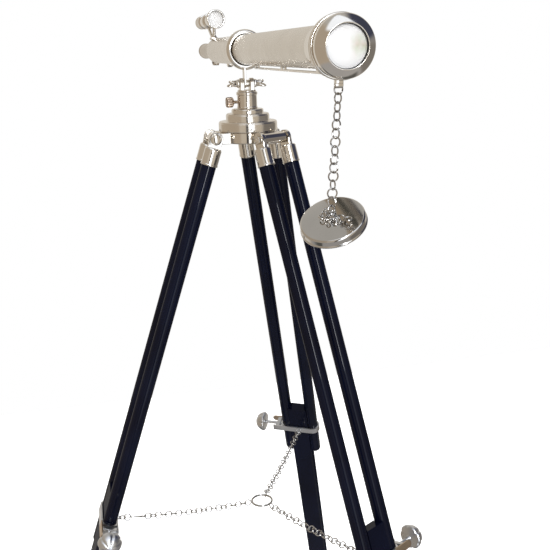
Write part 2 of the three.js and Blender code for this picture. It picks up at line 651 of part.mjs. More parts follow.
// Domed knob on a thin screw. The screw bears on the rod through the band's end.
function clampScrew() {
  const start = ROD_SPACING / 2 + ROD_RADIUS + 0.8;
  const edge = KNOB_NEAR + 2;
  const dome = [0, 20, 40, 60, 78].map((degrees) => {
    const angle = radians(degrees);
    return [KNOB_RADIUS * Math.cos(angle), edge + (KNOB_FAR - edge) * Math.sin(angle)];
  });
  return turnedY([
    [0, start], [2.5, start], [2.5, KNOB_NEAR - 1.5], [4, KNOB_NEAR], [KNOB_RADIUS - 2, KNOB_NEAR],
    ...dome, [0, KNOB_FAR],
  ], MEDIUM).translate(0, 0, -CLAMP_AT);
}

// Flat lower leg. Its sides are hollowed to slide along the rods.
function lowerLeg() {
  const groove = ROD_RADIUS + GAP;
  const edge = LOWER_THICKNESS / 2;
  const reach = Math.acos((ROD_SPACING - LOWER_WIDTH) / 2 / groove);
  const degrees = THREE.MathUtils.radToDeg(reach);
  const side = (sign) => arc([0, sign * ROD_SPACING / 2], groove, -sign * 90 - degrees,
    -sign * 90 + degrees, 8);
  const half = LOWER_WIDTH / 2;
  const outline = [
    [-edge, half], ...side(1), [edge, half], [edge, -half], ...side(-1), [-edge, -half],
  ];
  const shape = new THREE.Shape(outline.map(([x, y]) => new THREE.Vector2(x, y)));
  const length = LOWER_END - LOWER_TOP;
  return new THREE.ExtrudeGeometry(shape, { depth: length, bevelEnabled: false })
    .translate(0, 0, -LOWER_END);
}

// Shoe on the leg's end, cut level with the floor.
function footTip() {
  const top = -LOWER_END - GAP;
  const shoe = toSolid(turnedZ([
    [0, -LEG_REACH - 12], [9, -LEG_REACH - 12], [11, top - 14], [12.6, top - 10],
    [12.6, top], [0, top],
  ], MEDIUM));
  const floor = toSolid(new THREE.BoxGeometry(200, 200, 60).translate(0, 0, -30)
    .rotateY(radians(LEG_TILT)).translate(0, 0, -LEG_REACH));
  return toGeometry(shoe.subtract(floor));
}

// Chain from the clamp's staple to the centre ring, with a slight sag. Given in the leg's
// upright frame, where X points outwards from the tripod's axis and Z is up from the hinges.
function spreaderCurve(clearance) {
  const tilt = radians(LEG_TILT);
  const inwards = -STAPLE_REACH;
  const start = new THREE.Vector3(
    HINGE_RADIUS + CLAMP_AT * Math.sin(tilt) + inwards * Math.cos(tilt), 0,
    -CLAMP_AT * Math.cos(tilt) + inwards * Math.sin(tilt));
  const end = new THREE.Vector3(
    SPREADER_RING + SPREADER_WIRE + clearance, 0, -SPREADER_DROP);
  const sag = new THREE.Vector3().addVectors(start, end).multiplyScalar(0.5);
  sag.z -= 9;
  return new THREE.QuadraticBezierCurve3(start, sag, end);
}

LEG_AZIMUTHS.forEach((azimuth, index) => {
  const number = index + 1;
  const upright = new THREE.Group();
  upright.rotation.z = radians(azimuth);
  upright.position.z = hubHeight;
  const leg = new THREE.Group();
  leg.position.x = HINGE_RADIUS;
  leg.rotation.y = -radians(LEG_TILT);
  upright.add(leg);
  object.add(upright);
  for (const [letter, side] of [['a', 1], ['b', -1]]) {
    place(leg, `rod_${number}${letter}`, rod(side), blackLacquer);
    place(leg, `ferrule_${number}${letter}`, ferrule(side), nickel);
  }
  const bolt = place(upright, `hinge_bolt_${number}`, hingeBolt(), nickel);
  bolt.position.x = HINGE_RADIUS;
  place(leg, `clamp_band_${number}`, clampBand(), greyMetal);
  place(leg, `clamp_screw_${number}`, clampScrew(), greyMetal);
  place(leg, `lower_leg_${number}`, lowerLeg(), blackLacquer);
  place(leg, `foot_tip_${number}`, footTip(), rubber);
  const clearance = index ? 1.5 : GAP;
  const chain = tubeAlong(spreaderCurve(clearance), CHAIN_RADIUS, 14);
  place(upright, `spreader_chain_${number}`, chain, nickel);
});

const ringShape = new THREE.TorusGeometry(SPREADER_RING, SPREADER_WIRE, 8, 28);
place(head, 'spreader_ring', ringShape.translate(0, 0, -SPREADER_DROP), nickel);

// ---------------------------------------------------------------- origin

object.updateMatrixWorld(true);
const bounds = new THREE.Box3().setFromObject(object, true);
const middle = bounds.getCenter(new THREE.Vector3());
object.position.set(-middle.x, -middle.y, -bounds.min.z);

export default object;
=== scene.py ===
"""Looks of the tripod telescope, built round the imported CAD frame.

Each piece is drawn in millimetres in the frame of what carries it: the telescope, the head,
a leg or the dust cap. The frames come from the CAD joints.
"""

import json
import math
import random

import bmesh
import bpy
from mathutils import Matrix, Vector


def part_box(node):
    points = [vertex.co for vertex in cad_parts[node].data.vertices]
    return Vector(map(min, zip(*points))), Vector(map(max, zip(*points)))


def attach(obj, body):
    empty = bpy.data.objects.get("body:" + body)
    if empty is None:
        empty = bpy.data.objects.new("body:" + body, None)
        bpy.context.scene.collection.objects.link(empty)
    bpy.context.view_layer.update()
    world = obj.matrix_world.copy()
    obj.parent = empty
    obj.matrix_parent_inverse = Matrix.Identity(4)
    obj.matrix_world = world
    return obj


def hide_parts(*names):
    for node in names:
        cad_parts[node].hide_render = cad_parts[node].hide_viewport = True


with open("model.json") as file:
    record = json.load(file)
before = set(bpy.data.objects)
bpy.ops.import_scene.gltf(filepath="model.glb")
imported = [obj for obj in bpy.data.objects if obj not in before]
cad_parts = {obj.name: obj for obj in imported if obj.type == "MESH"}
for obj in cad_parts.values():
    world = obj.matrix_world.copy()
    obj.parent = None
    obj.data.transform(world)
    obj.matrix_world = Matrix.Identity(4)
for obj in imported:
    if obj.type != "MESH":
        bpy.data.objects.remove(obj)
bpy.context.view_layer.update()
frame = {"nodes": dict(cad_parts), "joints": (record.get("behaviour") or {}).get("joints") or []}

MM = 0.001
FINE = 96                        # sides of a large turned piece
SMALL = 40                       # sides of a small one

# Places that several pieces share, in millimetres
PIVOT_DROP = 43                  # altitude pivot below the tube's axis
PINION_AT = 250                  # focus shaft behind the pivot
PINION_DROP = 16.6               # and below the tube's axis
FINDER_SIDE = -8                 # finder's axis, from the tube's
FINDER_RISE = 46
HUB_LOW, HUB_HIGH = -7, 7.7      # faces of the hub casting, from the hinges
HINGE_OUT = 48                   # leg hinges, from the tripod's axis
ROD_SIDE = 22.5                  # axes of a leg's two rods, from its middle
ROD_END = 634                    # the rest is below the hinge, along the leg
CLAMP_AT = 577
SLAT_TOP, SLAT_END = 531, 1168
CHAIN_REACH = 16.9               # where the clamp's staple holds the chain, inwards
RING_DROP = 560                  # spreader ring below the hinges
RING_RADIUS = 15.5

joints = {joint["name"]: joint for joint in frame["joints"]}


def middle(node):
    low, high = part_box(node)
    return (low + high) / 2


# ---------------------------------------------------------------- frames of the pieces

tripod_axis = Vector(joints["azimuth_turn"]["pos_m"])
hinge_height = joints["leg_1_fold"]["pos_m"][2]
tube_height = middle("main_barrel").z
TUBE = Matrix.Translation((tripod_axis.x, tripod_axis.y, tube_height))
HEAD = Matrix.Translation((tripod_axis.x, tripod_axis.y, hinge_height))
PIVOT_RISE = (tripod_axis.z - hinge_height) / MM
LOCK_RISE = (joints["azimuth_knob_turn"]["pos_m"][2] - hinge_height) / MM


def leg_azimuth(number):
    hinge = Vector(joints[f"leg_{number}_fold"]["pos_m"])
    return math.atan2(hinge.y - tripod_axis.y, hinge.x - tripod_axis.x)


def leg_frame(number):
    """Origin on the hinge, Y along the hinge's axis, Z up the leg, X outwards."""
    hinge = Vector(joints[f"leg_{number}_fold"]["pos_m"])
    tilt = math.acos(joints[f"leg_{number}_length"]["axis"][2])
    turn = Matrix.Rotation(leg_azimuth(number), 4, "Z")
    return Matrix.Translation(hinge) @ turn @ Matrix.Rotation(-tilt, 4, "Y")


def upright_frame(number):
    """Origin on the tripod's axis at the height of the hinges, X towards the leg."""
    return HEAD @ Matrix.Rotation(leg_azimuth(number), 4, "Z")


# ---------------------------------------------------------------- camera

camera = bpy.data.objects.new("camera", bpy.data.cameras.new("camera"))
bpy.context.scene.collection.objects.link(camera)
camera.location = (-0.1024, -1.0282, 1.2387)
YAW, PITCH, ROLL = 12.80, -16.06, 1.68         # degrees: right of +Y, up, clockwise
camera.rotation_euler = (Matrix.Rotation(-math.radians(YAW), 4, "Z")
                         @ Matrix.Rotation(math.radians(90 + PITCH), 4, "X")
                         @ Matrix.Rotation(math.radians(-ROLL), 4, "Z")).to_euler()
camera.data.lens = 51.18
camera.data.sensor_width = 36
bpy.context.scene.camera = camera

# ---------------------------------------------------------------- materials


class Nodes:
    """Short calls for the nodes of one material or world."""

    def __init__(self, tree):
        self.tree = tree
        tree.nodes.clear()

    def add(self, kind, inputs=None, **settings):
        node = self.tree.nodes.new(kind)
        for key, value in settings.items():
            setattr(node, key, value)
        for key, value in (inputs or {}).items():
            self.feed(node.inputs[key], value)
        return node

    def feed(self, socket, value):
        if isinstance(value, bpy.types.NodeSocket):
            self.tree.links.new(value, socket)
        else:
            socket.default_value = value

    def math(self, operation, *values, clamp=False):
        node = self.add("ShaderNodeMath", operation=operation, use_clamp=clamp)
        for socket, value in zip(node.inputs, values):
            self.feed(socket, value)
        return node.outputs[0]

    def noise(self, vector, scale, detail=3.0, roughness=0.55):
        inputs = {"Vector": vector, "Scale": scale, "Detail": detail, "Roughness": roughness}
        return self.add("ShaderNodeTexNoise", inputs).outputs["Fac"]

    def spread(self, value, low, high):
        """Maps noise, which lies mostly between 0.3 and 0.7, to low..high."""
        return self.add("ShaderNodeMapRange", {
            "Value": value, "From Min": 0.3, "From Max": 0.7, "To Min": low, "To Max": high,
        }).outputs[0]

    def mix(self, factor, first, second):
        node = self.add("ShaderNodeMix", data_type="RGBA")
        self.feed(node.inputs[0], factor)
        self.feed(node.inputs[6], first)
        self.feed(node.inputs[7], second)
        return node.outputs[2]

    def local(self):
        return self.add("ShaderNodeTexCoord").outputs["Object"]

    def stretched(self, scale):
        return self.add("ShaderNodeMapping", {"Vector": self.local(), "Scale": scale}).outputs[0]

    def bump(self, height, strength, distance):
        inputs = {"Height": height, "Strength": strength, "Distance": distance}
        return self.add("ShaderNodeBump", inputs).outputs[0]


def material(name):
    made = bpy.data.materials.new(name)
    made.use_nodes = True
    return made, Nodes(made.node_tree)


def finish_material(nodes, surface):
    nodes.add("ShaderNodeOutputMaterial", {"Surface": surface.outputs[0]})


def metal(name, colour, shade, rough, brushed=None, scratch=0.02, relief=0.04):
    """Plated metal: faint blotches of colour and gloss, and fine tool marks along or round it."""
    made, nodes = material(name)
    blotch = nodes.noise(nodes.local(), 26.0, 4.0)
    tint = nodes.mix(nodes.spread(blotch, 0, 1), (*colour, 1), (*shade, 1))
    marks = nodes.noise(nodes.stretched(brushed or (500, 500, 500)), 1.0, 2.0)
    smudge = nodes.noise(nodes.local(), 70.0, 5.0)
    gloss = nodes.math("ADD", nodes.spread(smudge, rough[0], rough[1]),
                       nodes.spread(marks, -scratch, scratch))
    surface = nodes.add("ShaderNodeBsdfPrincipled", {
        "Base Color": tint, "Metallic": 1.0, "Roughness": gloss,
        "Normal": nodes.bump(marks, relief, 0.0001),
    })
    finish_material(nodes, surface)
    return made


def lacquer():
    """Gloss black paint with a blue cast on turned wood, its grain just showing."""
    made, nodes = material("black_lacquer_paint")
    grain = nodes.noise(nodes.stretched((420, 420, 14)), 1.0, 4.0)
    patches = nodes.noise(nodes.local(), 9.0, 3.0)
    colour = nodes.mix(nodes.spread(patches, 0, 1), (0.0016, 0.0020, 0.0060, 1),
                       (0.0028, 0.0040, 0.0120, 1))
    surface = nodes.add("ShaderNodeBsdfPrincipled", {
        "Base Color": colour, "Roughness": nodes.spread(grain, 0.18, 0.28),
        "Specular IOR Level": 0.0, "Coat Weight": 0.3, "Coat Roughness": 0.03,
        "Normal": nodes.bump(grain, 0.10, 0.0003),
    })
    finish_material(nodes, surface)
    return made


def glass_painted_glow():
    """Lens face with painted light: a pale grey colour that also glows faintly, and a painted green
    and pink reflection on one side.
    """
    made, nodes = material("glass_painted_glow")
    place = nodes.add("ShaderNodeSeparateXYZ", {"Vector": nodes.local()})
    across = place.outputs[0]
    height = place.outputs[2]
    reflection_noise = nodes.noise(nodes.local(), 95.0, 2.0)
    # Painted reflection: a green and pink patch on one side of the lens, strongest at its middle
    # height.
    side = nodes.add("ShaderNodeMapRange", {
        "Value": across, "From Min": 0.001, "From Max": 0.008, "To Min": 0.0, "To Max": 1.0,
    }).outputs[0]
    fall = nodes.math("MULTIPLY", nodes.math("ABSOLUTE", height), 75.0)
    centre = nodes.math("SUBTRACT", 1.0, fall, clamp=True)
    patch = nodes.math("MULTIPLY", side, centre)
    reflection_amount = nodes.math("MULTIPLY", patch, nodes.spread(reflection_noise, 0.3, 1.0), clamp=True)
    hue = nodes.mix(nodes.spread(nodes.noise(nodes.local(), 130.0, 1.0), 0, 1),
                    (0.24, 0.32, 0.14, 1), (0.42, 0.31, 0.26, 1))
    colour = nodes.mix(nodes.math("MULTIPLY", reflection_amount, 0.9), (0.62, 0.62, 0.62, 1), hue)
    # Painted glow: the lens colour also feeds the emission, so the glass shines though it is no
    # lamp.
    surface = nodes.add("ShaderNodeBsdfPrincipled", {
        "Base Color": colour, "Metallic": 0.0, "Roughness": 0.3, "Specular IOR Level": 0.1,
        "Coat Weight": 0.3, "Coat Roughness": 0.02, "Emission Color": colour,
        "Emission Strength": 0.12,
    })
    finish_material(nodes, surface)
    return made


def dull(name, colour, rough, bump):
    """Matt black paint or rubber with a fine pebbled surface."""
    made, nodes = material(name)
    pebbles = nodes.noise(nodes.local(), 1500.0, 2.0)
    surface = nodes.add("ShaderNodeBsdfPrincipled", {
        "Base Color": nodes.mix(nodes.spread(nodes.noise(nodes.local(), 60.0), 0, 1),
                                (*colour, 1), (*[c * 1.8 for c in colour], 1)),
        "Roughness": rough, "Normal": nodes.bump(pebbles, bump, 0.0003),
    })
    finish_material(nodes, surface)
    return made


NICKEL = metal("nickel_polished", (0.84, 0.81, 0.76), (0.76, 0.72, 0.66), (0.05, 0.12))
TUBE_NICKEL = metal("nickel_tube", (0.78, 0.745, 0.69), (0.72, 0.685, 0.63), (0.24, 0.31),
                    brushed=(60, 300, 60), scratch=0.004, relief=0.004)
# A darker, browner copy of the nickel: painted shade on the focuser housing.
FOCUSER_NICKEL_PAINTED_SHADE = metal("nickel_focuser_painted_shade", (0.50, 0.44, 0.36), (0.40, 0.34, 0.27), (0.16, 0.24))
# A darker, browner copy of the nickel: painted shade on the azimuth lock knob.
KNOB_NICKEL_PAINTED_SHADE = metal("nickel_knob_painted_shade", (0.50, 0.41, 0.33), (0.38, 0.30, 0.24), (0.16, 0.26))
CAP_NICKEL = metal("nickel_cap", (0.66, 0.64, 0.61), (0.61, 0.59, 0.56), (0.07, 0.11),
                   brushed=(90, 90, 900), scratch=0.015)
TURNED = metal("nickel_turned", (0.82, 0.775, 0.71), (0.74, 0.69, 0.62), (0.10, 0.18),
               brushed=(60, 60, 900))
CHAIN_WIRE = metal("nickel_wire", (0.66, 0.65, 0.63), (0.44, 0.43, 0.42), (0.08, 0.18))
GREY = metal("grey_metal_rough", (0.70, 0.71, 0.73), (0.58, 0.59, 0.61), (0.26, 0.40),
             brushed=(300, 300, 300))
BRONZE = metal("warm_metal_rough", (0.66, 0.53, 0.40), (0.52, 0.41, 0.30), (0.34, 0.48),
               brushed=(300, 300, 300))
LACQUER = lacquer()
GLASS_PAINTED_GLOW = glass_painted_glow()
FLAT_BLACK = dull("flat_black", (0.004, 0.004, 0.005), 0.75, 0.15)
RUBBER = dull("black_rubber_mould", (0.018, 0.018, 0.018), 0.7, 0.4)

# ---------------------------------------------------------------- shapes, in millimetres


class Shape:
    """Points and faces that several primitives add to."""

    def __init__(self):
        self.points = []
        self.faces = []

    def add(self, points, faces, place=None):
        start = len(self.points)
        self.points += [place @ Vector(p) if place else Vector(p) for p in points]
        self.faces += [[start + i for i in face] for face in faces]
        return self


def softened(profile, radius, closed):
    """The profile with its sharp corners rounded off."""
    count = len(profile)
    points = [Vector(p) for p in profile]
    soft = []
    for i, point in enumerate(points):
        if not closed and i in (0, count - 1):
            soft.append(tuple(point))
            continue
        before = points[i - 1] - point
        after = points[(i + 1) % count] - point
        if before.length < 1e-6 or after.length < 1e-6 or before.angle(after) > math.radians(158):
            soft.append(tuple(point))
            continue
        reach = min(radius, 0.42 * before.length, 0.42 * after.length)
        start = point + before.normalized() * reach
        end = point + after.normalized() * reach
        for step in range(4):
            t = step / 3
            soft.append(tuple(start * (1 - t) ** 2 + point * 2 * t * (1 - t) + end * t ** 2))
    return soft


def turned(profile, sides=FINE, soft=0.5, flutes=0, depth=0.0, fluted_from=0.0, pinched=1):
    """A body of revolution about Z from (radius, height) pairs. A profile that starts and ends
    on the axis is solid; any other is joined up into a ring. Flutes cut the widest part, and
    are narrow grooves when pinched."""
    closed = profile[0][0] > 0
    outline = softened(profile, soft, closed)
    points, rings = [], []
    for radius, height in outline:
        if radius < 1e-6:
            rings.append([len(points)])
            points.append((0, 0, height))
            continue
        rings.append(list(range(len(points), len(points) + sides)))
        for i in range(sides):
            angle = 2 * math.pi * i / sides
            wave = (0.5 - 0.5 * math.cos(flutes * angle)) ** pinched
            cut = depth * wave if radius > fluted_from else 0
            r = radius - (cut if flutes else 0)
            points.append((r * math.cos(angle), r * math.sin(angle), height))
    faces = []
    pairs = list(zip(rings, rings[1:])) + ([(rings[-1], rings[0])] if closed else [])
    for low, high in pairs:
        for i in range(sides):
            j = (i + 1) % sides
            face = [low[i % len(low)], low[j % len(low)], high[j % len(high)], high[i % len(high)]]
            face = list(dict.fromkeys(face))
            if len(face) > 2:
                faces.append(face)
    return points, faces


def swept(path, radius, closed=False, sides=12):
    """A round wire along points."""
    points, faces = [], []
    count = len(path)
    path = [Vector(p) for p in path]
    normal = None
    for i, point in enumerate(path):
        if closed:
            along = (path[(i + 1) % count] - path[i - 1]).normalized()
        else:
            along = (path[min(i + 1, count - 1)] - path[max(i - 1, 0)]).normalized()
        if normal is None:
            normal = along.orthogonal().normalized()
        normal = (normal - along * normal.dot(along)).normalized()
        other = along.cross(normal)
        for k in range(sides):
            angle = 2 * math.pi * k / sides
            points.append(point + radius * (math.cos(angle) * normal + math.sin(angle) * other))
    for i in range(count if closed else count - 1):
        for k in range(sides):
            a, b = i * sides, (i + 1) % count * sides
            faces.append([a + k, a + (k + 1) % sides, b + (k + 1) % sides, b + k])
    if not closed:
        faces.append(list(range(sides))[::-1])
        faces.append([(count - 1) * sides + k for k in range(sides)])
    return points, faces


def around(steps):
    """Angles that divide a circle evenly, in radians."""
    return [2 * math.pi * i / steps for i in range(steps)]


def arc(centre, radius, start, end, steps=12):
    angles = [math.radians(start + (end - start) * i / steps) for i in range(steps + 1)]
    return [(centre[0] + radius * math.cos(a), centre[1] + radius * math.sin(a)) for a in angles]


def extruded(outline, low, high, edge=0.6):
    """A slab with the outline in X and Y, its rims bevelled."""
    count = len(outline)
    centre = sum((Vector(p) for p in outline), Vector((0, 0))) / count
    levels = [(low, edge), (low + edge, 0), (high - edge, 0), (high, edge)]
    points = []
    for height, inset in levels:
        for x, y in outline:
            offset = Vector((x, y)) - centre
            offset *= 1 - inset / max(offset.length, 1)
            points.append((*(centre + offset), height))
    faces = [list(range(count))[::-1], [3 * count + i for i in range(count)]]
    for level in range(3):
        for i in range(count):
            a, j = level * count, (i + 1) % count
            faces.append([a + i, a + j, a + count + j, a + count + i])
    return points, faces


def block(size, centre, edge=0.8):
    """A box with bevelled edges."""
    box = bmesh.new()
    bmesh.ops.create_cube(box, size=1)
    bmesh.ops.scale(box, vec=size, verts=box.verts)
    bmesh.ops.bevel(box, geom=list(box.edges), offset=edge, segments=3, profile=0.5, affect="EDGES")
    points = [v.co + Vector(centre) for v in box.verts]
    faces = [[v.index for v in face.verts] for face in box.faces]
    box.free()
    return points, faces


# Turns of a shape that is drawn with its axis along Z
ALONG_X = Matrix.Rotation(math.pi / 2, 4, "Y")
ALONG_Y = Matrix.Rotation(-math.pi / 2, 4, "X")
ALONG_Z = Matrix.Identity(4)

# Turns of a slab: its outline's X and Y go to Y and Z, or to X and Z
FACING_X = Matrix(((0, 0, 1, 0), (1, 0, 0, 0), (0, 1, 0, 0), (0, 0, 0, 1)))
FACING_Y = Matrix(((1, 0, 0, 0), (0, 0, -1, 0), (0, 1, 0, 0), (0, 0, 0, 1)))


def piece(name, shape, place, look, body, stands_for=(), sharp=32):
    """Makes the object, with its mesh in metres in its own frame, and hands it to its body."""
    mesh = bpy.data.meshes.new(name)
    mesh.from_pydata([Vector(p) * MM for p in shape.points], [], shape.faces)
    joined = bmesh.new()
    joined.from_mesh(mesh)
    bmesh.ops.remove_doubles(joined, verts=joined.verts, dist=1e-7)
    bmesh.ops.recalc_face_normals(joined, faces=joined.faces)
    joined.to_mesh(mesh)
    joined.free()
    mesh.shade_smooth()
    mesh.set_sharp_from_angle(angle=math.radians(sharp))
    mesh.materials.append(look)
    made = bpy.data.objects.new(name, mesh)
    bpy.context.scene.collection.objects.link(made)
    made.matrix_world = place
    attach(made, body)
    if stands_for:
        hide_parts(*stands_for)


def lathe(name, profile, place, look, body, stands_for=(), axis=ALONG_Y, at=(0, 0, 0), **options):
    points, faces = turned(profile, **options)
    shape = Shape().add(points, faces, Matrix.Translation(at) @ axis)
    piece(name, shape, place, look, body, stands_for)


def finish_cad(node, look):
    """Gives a CAD piece that stays in view its look."""
    materials = frame["nodes"][node].data.materials
    materials.clear()
    materials.append(look)


# ---------------------------------------------------------------- telescope


def objective():
    lathe("objective_bezel", [
        (18.0, -423.1), (18.0, -426.7), (18.4, -427.0), (18.9, -426.9), (25.2, -422.0),
        (26.2, -420.6), (26.3, -416.0), (25.6, -415.2), (24.4, -414.6), (24.4, -411.4),
        (19.9, -411.4), (19.9, -423.1),
    ], TUBE, NICKEL, "tube", ["objective_ring"], soft=0.7)
    lathe("objective_baffle", [(17.4, -423.4), (17.9, -423.4), (17.9, -426.0), (17.7, -426.0)],
          TUBE, FLAT_BLACK, "tube", soft=0.1)
    crown = [(19.5 * i / 10, -422.3 - 2.0 * (1 - (i / 10) ** 2)) for i in range(11)]
    lathe("objective_glass", crown + [(19.5, -419.4), (0, -417.4)], TUBE, GLASS_PAINTED_GLOW, "tube",
          ["objective_lens"], soft=0.1)


def flange():
    flare = [(20.1 + 6.4 * (1 - i / 12) ** 2.4, -402.0 + 36.0 * i / 12) for i in range(13)]
    shape = Shape().add(*turned([
        (19.4, -411.0), (26.6, -411.0), (27.4, -410.2), (27.4, -408.0), (26.7, -407.2),
        (26.0, -406.6), (26.0, -405.8), (27.0, -405.2), (27.0, -402.8), *flare, (19.4, -366.0),
    ], soft=0.35), ALONG_Y)
    lug = (Vector(joints["cap_chain_swing"]["pos_m"]) - TUBE.translation) / MM
    shape.add(*block((7, 6, 5), lug + Vector((0, 0, 3.2)), 0.8))
    shape.add(*turned([(1.7, -3.4), (3.0, -3.4), (3.0, 3.4), (1.7, 3.4)], 28, 0.4),
              Matrix.Translation(lug) @ ALONG_X)
    piece("objective_flange", shape, TUBE, NICKEL, "tube", ["bell_flange"])


def barrel():
    lathe("barrel_tube", [
        (17.9, -392), (19.1, -392), (19.1, 214), (18.6, 215), (17.9, 215),
    ], TUBE, TUBE_NICKEL, "tube", ["main_barrel"], soft=0.3, sides=128)
    ring = [(20.6 + 5.35 * math.sin(math.radians(a)) ** 0.75, -6.5 * math.cos(math.radians(a)))
            for a in range(0, 181, 10)]
    shape = Shape().add(*turned([*ring, (19.35, 4.0), (19.35, -4.0)], soft=0.1), ALONG_Y)
    tongue = [(-6, -23), *arc((0, -PIVOT_DROP), 6, 180, 360), (6, -23)]
    shape.add(*extruded(tongue, -3.6, -1.2, 0.4), FACING_X)
    shape.add(*turned([(3.0, -1.1), (4.6, -1.1), (4.6, 3.6), (3.0, 3.6)], 32, 0.4),
              Matrix.Translation((0, 0, -PIVOT_DROP)) @ ALONG_X)
    piece("cradle", shape, TUBE, NICKEL, "tube", ["cradle_ring"])


def rail():
    """Thin rail under the barrel. Its rear end is curled up into an eye."""
    top = -21.2
    shape = Shape().add(*block((5, 288, 2.2), (0, -210, top - 1.1), 0.6))
    for station in (-72, -208, -346):
        shape.add(*block((5, 9, 3.0), (0, station, top + 0.7), 0.6))
    curl = [(0, y, z) for y, z in arc((-63, top + 0.2), 1.9, -110, 170, 16)]
    shape.add(*swept([(0, -72, top - 1.6), *curl], 0.85))
    piece("saddle_bar", shape, TUBE, NICKEL, "tube", ["saddle_rail"])


def focuser():
    lathe("collar", [
        (10.8, 209.3), (17.6, 209.3), (17.6, 215.3), (19.1, 215.3), (19.1, 218.0),
        (17.6, 220.3), (10.8, 220.3),
    ], TUBE, NICKEL, "tube", ["rear_collar"], soft=0.9)
    shape = Shape().add(*turned([
        (10.4, 220.6), (12.6, 220.6), (12.6, 222.6), (12.2, 223.2), (12.2, 346.0), (12.6, 346.6),
        (12.6, 352.5), (11.8, 354.6), (10.4, 355.0),
    ], soft=0.4), ALONG_Y)
    shape.add(*block((9, 13, 10), (0, PINION_AT, -17.6), 1.2))
    for side in (-1, 1):
        boss = (Matrix.Translation((side * 4.4, PINION_AT, -PINION_DROP))
                @ Matrix.Scale(side, 4, (1, 0, 0)))
        shape.add(*turned([(1.9, 0), (3.6, 0), (3.6, 1.4), (1.9, 1.4)], 32, 0.4), boss @ ALONG_X)
    piece("focuser_body", shape, TUBE, FOCUSER_NICKEL_PAINTED_SHADE, "tube", ["focuser_housing"])
    lathe("draw_tube", [(8.9, 175), (9.95, 175), (9.95, 361), (8.9, 361)], TUBE, NICKEL,
          "focus_tube", ["drawtube"], soft=0.3)
    lathe("focus_handwheel", [
        (0, 16.3), (4, 16.3), (4, 18.2), (8.8, 19.2), (9.6, 20.2), (9.6, 26.2), (8.6, 27.5),
        (3.4, 27.9), (2.6, 27.3), (0, 27.3),
    ], TUBE, TURNED, "focus_pinion", ["focus_knob"], ALONG_X, (0, PINION_AT, -PINION_DROP),
          soft=0.4, flutes=36, depth=0.45, fluted_from=9.3, sides=144)
    lathe("ocular", [
        (7.0, 361.3), (9.4, 361.3), (9.4, 364.0), (9.1, 364.4), (9.1, 368.0), (9.4, 368.4),
        (9.4, 370.3), (8.6, 372.3), (8.6, 380.0), (6.6, 382.3), (3.8, 382.0), (3.8, 378.3),
        (6.9, 376.4),
    ], TUBE, NICKEL, "focus_tube", ["eyepiece"], soft=0.4, flutes=48, depth=0.2,
          fluted_from=9.35, sides=144)
    lathe("ocular_glass", [(0, 375.6), (3, 375.5), (6.4, 375.0), (6.4, 373.0), (0, 373.0)],
          TUBE, GLASS_PAINTED_GLOW, "focus_tube", ["eye_lens"], soft=0.2, sides=SMALL)
    finish_cad("focus_rack", GREY)
    finish_cad("focus_shaft", GREY)


def finder():
    axis = (FINDER_SIDE, 0, FINDER_RISE)
    lathe("finder_body", [
        (12.2, 178.0), (13.2, 178.0), (14.0, 179.0), (14.0, 184.0), (13.4, 184.8),
        (13.4, 189.4), (12.2, 193.0), (9.6, 196.0), (9.5, 238.0), (11.6, 239.0), (11.6, 241.4),
        (10.9, 242.2), (10.9, 244.2), (11.6, 245.0), (11.6, 247.0), (9.5, 248.0), (9.5, 290.0),
        (11.4, 291.0), (11.4, 297.0), (10.6, 299.0), (8.3, 299.0), (8.3, 196.0), (12.2, 190.5),
    ], TUBE, NICKEL, "tube", ["finder_tube"], at=axis, soft=0.35)
    lathe("finder_glass", [(0, 183.4), (6, 183.8), (11.8, 184.8), (11.8, 186.6), (0, 186.6)],
          TUBE, GLASS_PAINTED_GLOW, "tube", ["finder_lens"], at=axis, soft=0.2, sides=SMALL)
    lathe("finder_ocular", [
        (6.8, 283.0), (7.8, 283.0), (7.8, 299.3), (8.6, 299.3), (10.4, 302.3), (10.4, 308.0),
        (9.8, 308.8), (9.8, 312.0), (10.4, 312.8), (10.4, 321.0), (9.0, 324.0), (10.6, 327.0),
        (10.6, 332.0), (9.6, 333.0), (5.0, 333.0), (5.0, 328.0), (6.8, 326.0),
    ], TUBE, NICKEL, "finder_eye", ["finder_eyepiece"], at=axis, soft=0.35)
    for end, foot, top in (("front", 202, 201), ("rear", 211.6, 262)):
        post = [(FINDER_SIDE, foot, 16.5), (FINDER_SIDE, top, 38)]
        shape = Shape().add(*swept(post, 2.4, sides=24))
        shape.add(*block((10.6, 8.6, 3.4), (FINDER_SIDE, foot, 18.2), 0.9))
        shape.add(*turned([(2.4, 0), (4.2, 0), (2.9, 3.2), (2.4, 3.2)], 32, 0.4),
                  Matrix.Translation((FINDER_SIDE, foot, 19.6)))
        shape.add(*block((9.6, 7.6, 3.0), (FINDER_SIDE, top, 35.6), 0.8))
        piece(f"finder_post_{end}", shape, TUBE, NICKEL, "tube", [f"finder_bracket_{end}"])


# ---------------------------------------------------------------- chains


def link(length, width, wire, steps=8):
    """One link in X and Y, its long way along X."""
    radius = (width - wire) / 2
    run = max(length / 2 - width / 2, 0)
    path = [(run + x, y, 0) for x, y in arc((0, 0), radius, -90, 90, steps)]
    path += [(x - run, y, 0) for x, y in arc((0, 0), radius, 90, 270, steps)]
    if run == 0:
        path = [(x, y, 0) for x, y in arc((0, 0), radius, 0, 360, 2 * steps)][:-1]
    return swept(path, wire / 2, closed=True, sides=8)


def along(points, distance):
    """The point and direction at a distance along a chain's middle line."""
    for start, end in zip(points, points[1:]):
        step = (end - start).length
        if distance <= step:
            return start.lerp(end, distance / step), (end - start).normalized()
        distance -= step
    return points[-1], (points[-1] - points[-2]).normalized()


def facing(point, direction, roll):
    """Places a link at a point with its X along the direction."""
    across = Vector((0, 0, 1)) if abs(direction.z) < 0.9 else Vector((0, 1, 0))
    side = direction.cross(across).normalized()
    up = side.cross(direction)
    basis = Matrix((direction, side, up)).transposed().to_4x4()
    return Matrix.Translation(point) @ basis @ Matrix.Rotation(roll, 4, "X")


